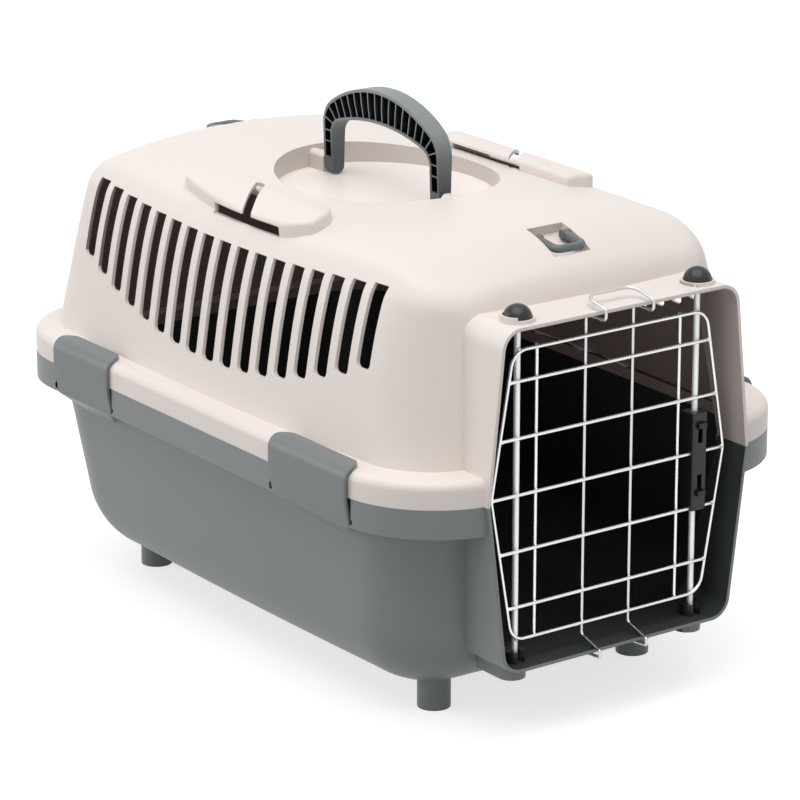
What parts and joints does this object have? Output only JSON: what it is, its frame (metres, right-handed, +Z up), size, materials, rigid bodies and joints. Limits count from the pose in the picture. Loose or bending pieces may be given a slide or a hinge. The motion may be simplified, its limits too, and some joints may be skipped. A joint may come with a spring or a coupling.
{
  "type": "pet carrier",
  "caption": "Hard-shell pet carrier with a vented clip-on cover, a wire door on an upright rod with a two-way spring latch, a folding arched handle and roof bails for a strap.",
  "frame": {"origin": "on the ground, under the centre of the carrier's bounding box", "axes": "+Z up, -Y out of the door, +X to the right when looking in through the door"},
  "size_m": [0.3256, 0.4866, 0.357],
  "materials": {
    "tub_plastic": "satin moulded grey",
    "cover_plastic": "satin moulded off-white",
    "handle_plastic": "satin moulded dark grey",
    "bail_plastic": "satin moulded grey",
    "black_plastic": "half-gloss moulded black",
    "chrome_wire": "bright plated wire",
    "spring_steel": "plain drawn wire"
  },
  "bodies": {
    "shell": {"base_tub": "tub_plastic", "top_cover": "cover_plastic", "hinge_cap": "black_plastic", "latch_cap": "black_plastic", "hinge_cup": "black_plastic", "latch_cup": "black_plastic"},
    "clip_fl": {"clip_front_left": "tub_plastic"},
    "clip_fr": {"clip_front_right": "tub_plastic"},
    "clip_rl": {"clip_rear_left": "tub_plastic"},
    "clip_rr": {"clip_rear_right": "tub_plastic"},
    "grip": {"handle": "handle_plastic"},
    "strap_loop_front": {"bail_front": "bail_plastic"},
    "strap_loop_rear": {"bail_rear": "bail_plastic"},
    "door": {"door_frame": "chrome_wire", "door_bar_1": "chrome_wire", "door_bar_2": "chrome_wire", "door_bar_3": "chrome_wire", "door_bar_4": "chrome_wire", "door_bar_5": "chrome_wire", "door_upright_left": "chrome_wire", "door_upright_right": "chrome_wire", "hook_wire": "chrome_wire", "hinge_rod": "chrome_wire", "latch_housing": "black_plastic", "spring_upper": "spring_steel", "spring_lower": "spring_steel"},
    "latch_up": {"latch_rod_upper": "chrome_wire", "slider_upper": "black_plastic"},
    "latch_down": {"latch_rod_lower": "chrome_wire", "slider_lower": "black_plastic"}
  },
  "joints": [
    {"name": "clip_front_left_flex", "type": "hinge", "parent": "shell", "child": "clip_fl", "pos_m": [-0.16, -0.1298, 0.1451], "axis": [0, -1, 0], "range_deg": [0, 24], "stiffness_Nm_per_rad": 0.6},
    {"name": "clip_front_right_flex", "type": "hinge", "parent": "shell", "child": "clip_fr", "pos_m": [0.16, -0.1298, 0.1451], "axis": [0, 1, 0], "range_deg": [0, 24], "stiffness_Nm_per_rad": 0.6},
    {"name": "clip_rear_left_flex", "type": "hinge", "parent": "shell", "child": "clip_rl", "pos_m": [-0.16, 0.1356, 0.1451], "axis": [0, -1, 0], "range_deg": [0, 24], "stiffness_Nm_per_rad": 0.6},
    {"name": "clip_rear_right_flex", "type": "hinge", "parent": "shell", "child": "clip_rr", "pos_m": [0.16, 0.1356, 0.1451], "axis": [0, 1, 0], "range_deg": [0, 24], "stiffness_Nm_per_rad": 0.6},
    {"name": "handle_fold", "type": "hinge", "parent": "shell", "child": "grip", "pos_m": [0, 0.011, 0.295], "axis": [0, 1, 0], "range_deg": [-86, 86]},
    {"name": "bail_front_swing", "type": "hinge", "parent": "shell", "child": "strap_loop_front", "pos_m": [0, -0.16439, 0.29745], "axis": [-1, 0, 0], "range_deg": [0, 120]},
    {"name": "bail_rear_swing", "type": "hinge", "parent": "shell", "child": "strap_loop_rear", "pos_m": [0, 0.18939, 0.29745], "axis": [1, 0, 0], "range_deg": [0, 120]},
    {"name": "door_swing", "type": "hinge", "parent": "shell", "child": "door", "pos_m": [-0.0705, -0.222, 0], "axis": [0, 0, -1], "range_deg": [0, 115]},
    {"name": "latch_upper_slide", "type": "slide", "parent": "door", "child": "latch_up", "axis": [0, 0, -1], "range_m": [0, 0.01], "stiffness_N_per_m": 250, "springref_m": -0.006, "deforming": ["spring_upper"]},
    {"name": "latch_lower_slide", "type": "slide", "parent": "door", "child": "latch_down", "axis": [0, 0, 1], "range_m": [0, 0.01], "stiffness_N_per_m": 250, "springref_m": -0.006, "deforming": ["spring_lower"]}
  ]
}
